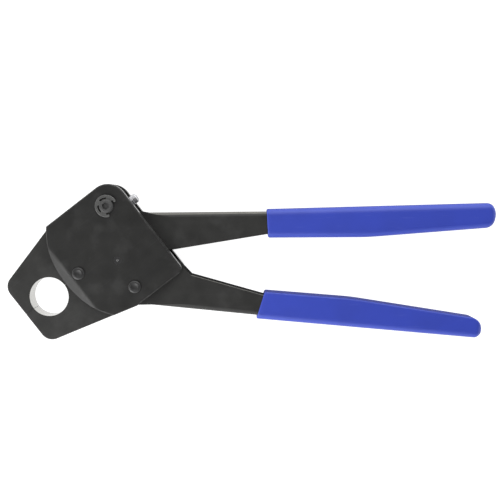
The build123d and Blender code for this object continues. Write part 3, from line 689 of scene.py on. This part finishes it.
def grip_point(size, around, through):
    """A point of a dipped sleeve, up its lining, over the lip and along its outside."""
    lining_cap, lining, lip, outside, cap = through
    length = size["Length"]
    inset = size["Wall"] * (1 - lip)
    finger_inset = size["Finger wall"] * (1 - lip)
    face_inset = size["Face wall"] * (1 - lip)
    lip_left = (size["Lip"] - inset).math("MAXIMUM", 0)
    lip_x = size["Lip"] - (size["Lip"] * size["Lip"] - lip_left * lip_left).math("SQRT")
    x = lip_x + (length - size["Wall"]) * eased(1 - lining) + (length - size["Lip"]) * eased(outside)
    outer = corner_side(size["Outer corner"], inset, x, length)
    inner = finger_side(size, x) - corner_side(size["Inner corner"], finger_inset, x, length)
    half_width = (inner - outer) / 2
    half_thickness = size["Thickness"] / 2 - corner_side(size["Outer edge"], face_inset, x, length)
    edges = [(size[side + " bar edge"], size[side + " edge"]) for side in ("Inner", "Outer")]
    rounds = [bar + (skin - bar) * lip for bar, skin in edges]
    rounds = [edge.math("MINIMUM", half_width).math("MINIMUM", half_thickness) for edge in rounds]
    across, height = soft_rectangle(around, half_width, half_thickness, *rounds)
    spot = across.node("ShaderNodeCombineXYZ", {}, {0: x, 1: across, 2: height})
    noise = across.node(
        "ShaderNodeTexNoise",
        {"noise_dimensions": "4D"},
        {"Vector": spot, "W": size["Seed"], "Scale": 1 / RIPPLE_SIZE, "Detail": 1.0},
    )
    shrunk = lining_cap * (1 - cap) * (1 + size["Ripple"] * (noise - 1) * outside)
    y = (outer + inner) / 2 + across * shrunk
    lean = size["Slant"] * (y / size["Start width"]) * (1 - x / length)
    return x + lean, y, height * shrunk


print("ripples about", round(RIPPLE_SIZE / MM), "mm long")

# %% [markdown]
# The two grips share a thickness and a lip, and differ in outline. Both bars have a sharper edge toward the
# fingers. On the upper grip the vinyl rounds it over, and on the lower one, where it ran a little thinner,
# the edge still shows as a crisp line. All sizes are in millimetres, measured from the outer corner of the
# open end.

# %% Sizes of the grips
RIPPLE = 0.012
shared_sizes = {
    "Thickness": 14.8,
    "Outer edge": 4.2,
    "Inner bar edge": 0.7,
    "Outer bar edge": 3.0,
    "Face wall": 1.2,
    "Lip": 0.9,
}
upper_sizes = {
    "Length": 144.0,
    "Slant": 0.5,
    "Start width": 18.05,
    "Belly at": 63.0,
    "Belly width": 19.45,
    "End width": 15.4,
    "Outer corner": 5.6,
    "Inner corner": 6.6,
    "Inner edge": 4.2,
    "Wall": 1.7,
    "Finger wall": 2.4,
}
lower_sizes = {
    "Length": 142.8,
    "Slant": 3.8,
    "Start width": 17.8,
    "Belly at": 57.0,
    "Belly width": 18.25,
    "End width": 12.55,
    "Outer corner": 4.4,
    "Inner corner": 7.9,
    "Inner edge": 1.1,
    "Wall": 2.25,
    "Finger wall": 2.3,
}
print("sizes of a grip", len(shared_sizes) + len(upper_sizes))

# %% [markdown]
# Both grips come from one tree. Each is drawn along its own bar, with its x along the handle and its y
# toward the other handle, and is then laid in its place. The upper one rides with the swinging handle.

# %% Dip both grips
CAP_ROWS = 4
LINING_ROWS = 20
LIP_ROWS = 10
OUTSIDE_ROWS = 120
UPPER_MOUTH = (136.8, 55.0)
UPPER_TURN = radians(1.57)
LOWER_MOUTH = (130.34, -14.28)
LOWER_TURN = radians(-5.06)
UPPER_SEED = 3.0
LOWER_SEED = 8.0
grip_rows = (CAP_ROWS, LINING_ROWS, LIP_ROWS, OUTSIDE_ROWS, CAP_ROWS)
grip_inputs = (*shared_sizes, *upper_sizes, "Ripple", "Seed")
grip_tree = skin_tree("dipped grip", grip_inputs, sum(GRIP_COLUMNS), grip_rows, grip_point)


def drawing_axes(origin, turn, side):
    """Axes of a grip's drawing: x along the handle, y toward the other handle."""
    along = Vector((cos(turn), sin(turn), 0))
    up = Vector((0, 0, side))
    axes = Matrix((along, up.cross(along), up)).transposed().to_4x4()
    return Matrix.Translation(Vector((*origin, 0)) * MM) @ axes


def dip(name, node, body, sizes, place, seed):
    """One dipped grip in the place of its solid node."""
    values = {size: value * MM for size, value in {**shared_sizes, **sizes}.items()}
    values.update({"Ripple": RIPPLE, "Seed": seed, "Material": vinyl_finish})
    piece = grow(name, grip_tree, values, place)
    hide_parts(node)
    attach(piece, body)


upper_place = drawing_axes(UPPER_MOUTH, UPPER_TURN, -1)
lower_place = drawing_axes(LOWER_MOUTH, LOWER_TURN, 1)
dip("dipped_upper_grip", "upper_grip", "upper_handle", upper_sizes, upper_place, UPPER_SEED)
dip("dipped_lower_grip", "lower_grip", "head", lower_sizes, lower_place, LOWER_SEED)

# %% [markdown]
# The lock screw is a plain socket set screw with a metric thread. A thread is a helix, so its radius depends
# on the height in pitches plus the share of a turn. Only the fraction of that sum counts, and so the crest
# moves by one pitch with every turn. The outer end is left plain where it stands out of the head. The
# formula walks out of the hex socket, over the end, down the plain part and along the thread.

# %% A point of the lock screw
ROOT_FLAT = 0.25
CREST_FLAT = 0.875
SIXTH_TURN = pi / 3


def screw_point(size, around, through):
    """A point of a set screw, out of its socket, over its end and down its thread."""
    bottom, wall, face, shank, foot = through
    length = size["Length"]
    angle = around * (2 * pi)
    from_flat = angle.math("WRAP", SIXTH_TURN / 2, -SIXTH_TURN / 2)
    hexagon = size["Socket flats"] / 2 / from_flat.math("COSINE")
    z = length - size["Socket depth"] * (1 - wall) - length * shank
    phase = (z / size["Pitch"] + around).math("FRACT")
    ridge = (1 - (phase * 2 - 1).math("ABSOLUTE")).ramp(ROOT_FLAT, CREST_FLAT)
    plain = (z - length + size["Plain end"]).ramp(0, size["Depth"])
    thread = size["Radius"] - size["Depth"] * (1 - ridge) * (1 - plain)
    end_radius = size["Radius"] - size["Chamfer"]
    from_end = z.math("MINIMUM", length - z)
    side = thread.math("MINIMUM", end_radius + from_end)
    radius = hexagon * bottom * (1 - face) + side * face * (1 - foot)
    return radius * angle.math("COSINE"), radius * angle.math("SINE"), z


print("thread root", ROOT_FLAT, "and crest", round(1 - CREST_FLAT, 3), "of a pitch")

# %% [markdown]
# The screw is zinc plated, so it is the one bright thing on the outside of the head. Plating has no grain of
# its own, only a soft clouded lustre.

# %% Zinc plate
ZINC = (0.6, 0.6, 0.63, 1)
ZINC_DULL = (0.52, 0.52, 0.52, 1)
ZINC_ROUGHNESS = 0.42
ZINC_CLOUD_MM = 1.2
ZINC_CLOUD_RANGE = (0.35, 0.7)


def zinc_plate():
    """Bright zinc with a soft clouded lustre."""
    material, wire, shader = start_finish("bright_zinc_plate")
    clouds = grain(object_place(wire), ZINC_CLOUD_MM, detail=4)
    tone = blend_colours(clouds.ramp(*ZINC_CLOUD_RANGE), ZINC, ZINC_DULL)
    wire.feed(shader.inputs["Base Color"], tone)
    wire.feed(shader.inputs["Roughness"], ZINC_ROUGHNESS + clouds * 0.12)
    shader.inputs["Metallic"].default_value = 1.0
    return material


zinc_finish = zinc_plate()
print("screw finish", zinc_finish.name)

# %% [markdown]
# The screw lies in a lug of the upper handle, along the head's own axis, and rides with the handle. It
# passes through one of the hollows in the eccentric pin's side, so that the pin can't turn, and its outer
# end stands out past the plates.

# %% Lock screw
SCREW_FOOT = (60.6, 16.3)
SCREW_COLUMNS = 72
SCREW_ROWS = (2, 3, 3, 300, 2)
SHARP_ANGLE = radians(40)
screw_sizes = {
    "Length": 21.2,
    "Radius": 3.0,
    "Depth": 0.61,
    "Pitch": 1.0,
    "Plain end": 3.4,
    "Chamfer": 0.7,
    "Socket flats": 3.0,
    "Socket depth": 3.0,
}
screw_tree = skin_tree("set screw", tuple(screw_sizes), SCREW_COLUMNS, SCREW_ROWS, screw_point)
head_axes = Matrix.Rotation(HEAD_TURN, 4, "Z")
screw_axes = Matrix.Rotation(pi / 2, 4, "Y")
screw_place = head_axes @ Matrix.Translation(Vector((*SCREW_FOOT, 0)) * MM) @ screw_axes
screw_values = {size: value * MM for size, value in screw_sizes.items()}
screw = grow("threaded_lock_screw", screw_tree, {**screw_values, "Material": zinc_finish}, screw_place)
screw.data.set_sharp_from_angle(angle=SHARP_ANGLE)
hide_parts("lock_screw")
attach(screw, "upper_handle")

# %% [markdown]
# The stage is a plain pale floor, lit from below like a light table, so that it stays white round the tool
# and throws light up into the die.

# %% Floor
FLOOR_HALF = 2.0
FLOOR_GAP = 0.2 * MM
FLOOR_TONE = 0.3
FLOOR_ROUGHNESS = 0.9
FLOOR_GLOW = 0.95
floor_level = cad_box[0].z - FLOOR_GAP
floor_signs = ((-1, -1), (1, -1), (1, 1), (-1, 1))
corners = [(x * FLOOR_HALF, y * FLOOR_HALF, floor_level) for x, y in floor_signs]
floor_mesh = bpy.data.meshes.new("floor")
floor_mesh.from_pydata(corners, [], [(0, 1, 2, 3)])
floor = bpy.data.objects.new("floor", floor_mesh)
bpy.context.scene.collection.objects.link(floor)
floor_finish, _, floor_shader = start_finish("pale_floor")
floor_shader.inputs["Base Color"].default_value = grey(FLOOR_TONE)
floor_shader.inputs["Roughness"].default_value = FLOOR_ROUGHNESS
floor_shader.inputs["Emission Color"].default_value = grey(1.0)
floor_shader.inputs["Emission Strength"].default_value = FLOOR_GLOW
floor_mesh.materials.append(floor_finish)
print("floor", round(FLOOR_GAP / MM, 2), "mm under the tool")

# %% [markdown]
# The surround is bright at the horizon and dim overhead, so that level faces stay dark while the edges and
# rounds catch light. The horizon is brighter behind the tool than at its front left, which is why the edges
# that face the back are the ones that shine.

# %% Surround
FRONT_HORIZON = 1.2
REAR_HORIZON = 1.9
OVERHEAD = 0.24
REAR_X = 0.6
REAR_Y = 0.8
FRONT_TO_REAR = (-0.7, 0.7)
SKYLINE = (0.05, 0.6)
world = bpy.data.worlds.new("studio")
world.use_nodes = True
sky = Wire(world.node_tree)
sky_x, sky_y, height = sky.node("ShaderNodeTexCoord", out="Generated").parts()
rearward = (sky_x * REAR_X + sky_y * REAR_Y).ramp(*FRONT_TO_REAR)
horizon = blend_colours(rearward, grey(FRONT_HORIZON), grey(REAR_HORIZON))
background = world.node_tree.nodes["Background"]
sky.feed(background.inputs["Color"], blend_colours(height.ramp(*SKYLINE), horizon, grey(OVERHEAD)))
bpy.context.scene.world = world
bpy.context.scene.view_settings.view_transform = "Standard"
print("horizon from", FRONT_HORIZON, "to", REAR_HORIZON, "and overhead", OVERHEAD)

# %% [markdown]
# Three soft lights do the rest. Two large ones at the front and the back lay wide, even highlights along the
# rounded edges of the grips and bars: a small lamp would leave hard streaks there. The third is smaller and
# stands at the left, in line with the bevel of the side plate, which is the face that it is meant for.

# %% Lights
object_middle = (cad_box[0] + cad_box[1]) / 2


def soft_light(name, offset, size, watts):
    """A square light that faces the middle of the tool."""
    lamp = bpy.data.lights.new(name, "AREA")
    lamp.size = size
    lamp.energy = watts
    holder = bpy.data.objects.new(name, lamp)
    holder.location = object_middle + Vector(offset)
    holder.rotation_euler = (-Vector(offset)).to_track_quat("-Z", "Y").to_euler()
    bpy.context.scene.collection.objects.link(holder)
    print(name, watts, "W,", size, "m wide")


soft_light("front_light", offset=(-0.3, -0.8, 0.55), size=1.0, watts=6.0)
soft_light("rear_light", offset=(0.0, 0.8, 0.6), size=1.0, watts=9.0)
soft_light("left_light", offset=(-0.42, -0.325, 0.27), size=0.35, watts=2.6)

# %% [markdown]
# The camera looks almost straight down. Its height, tilt and focal length come from the photograph: the
# side walls of the die and the plates show how far each point leans away from the point under the lens.

# %% Camera
CAMERA_AT = Vector((126.4, 60.7, 482.4)) * MM
CAMERA_TILT = radians(-3.76)
FRAME_PIXELS = 500
FOCAL_PIXELS = 761
NEAREST = 0.01
camera_data = bpy.data.cameras.new("camera")
camera_data.lens = camera_data.sensor_width * FOCAL_PIXELS / FRAME_PIXELS
camera_data.clip_start = NEAREST
camera = bpy.data.objects.new("camera", camera_data)
camera.location = CAMERA_AT
camera.rotation_euler = (CAMERA_TILT, 0, 0)
bpy.context.scene.collection.objects.link(camera)
bpy.context.scene.camera = camera
print("lens", round(camera_data.lens, 2), "mm")

# %% [markdown]
# Each piece made here is fitted to the solid that it stands in for.
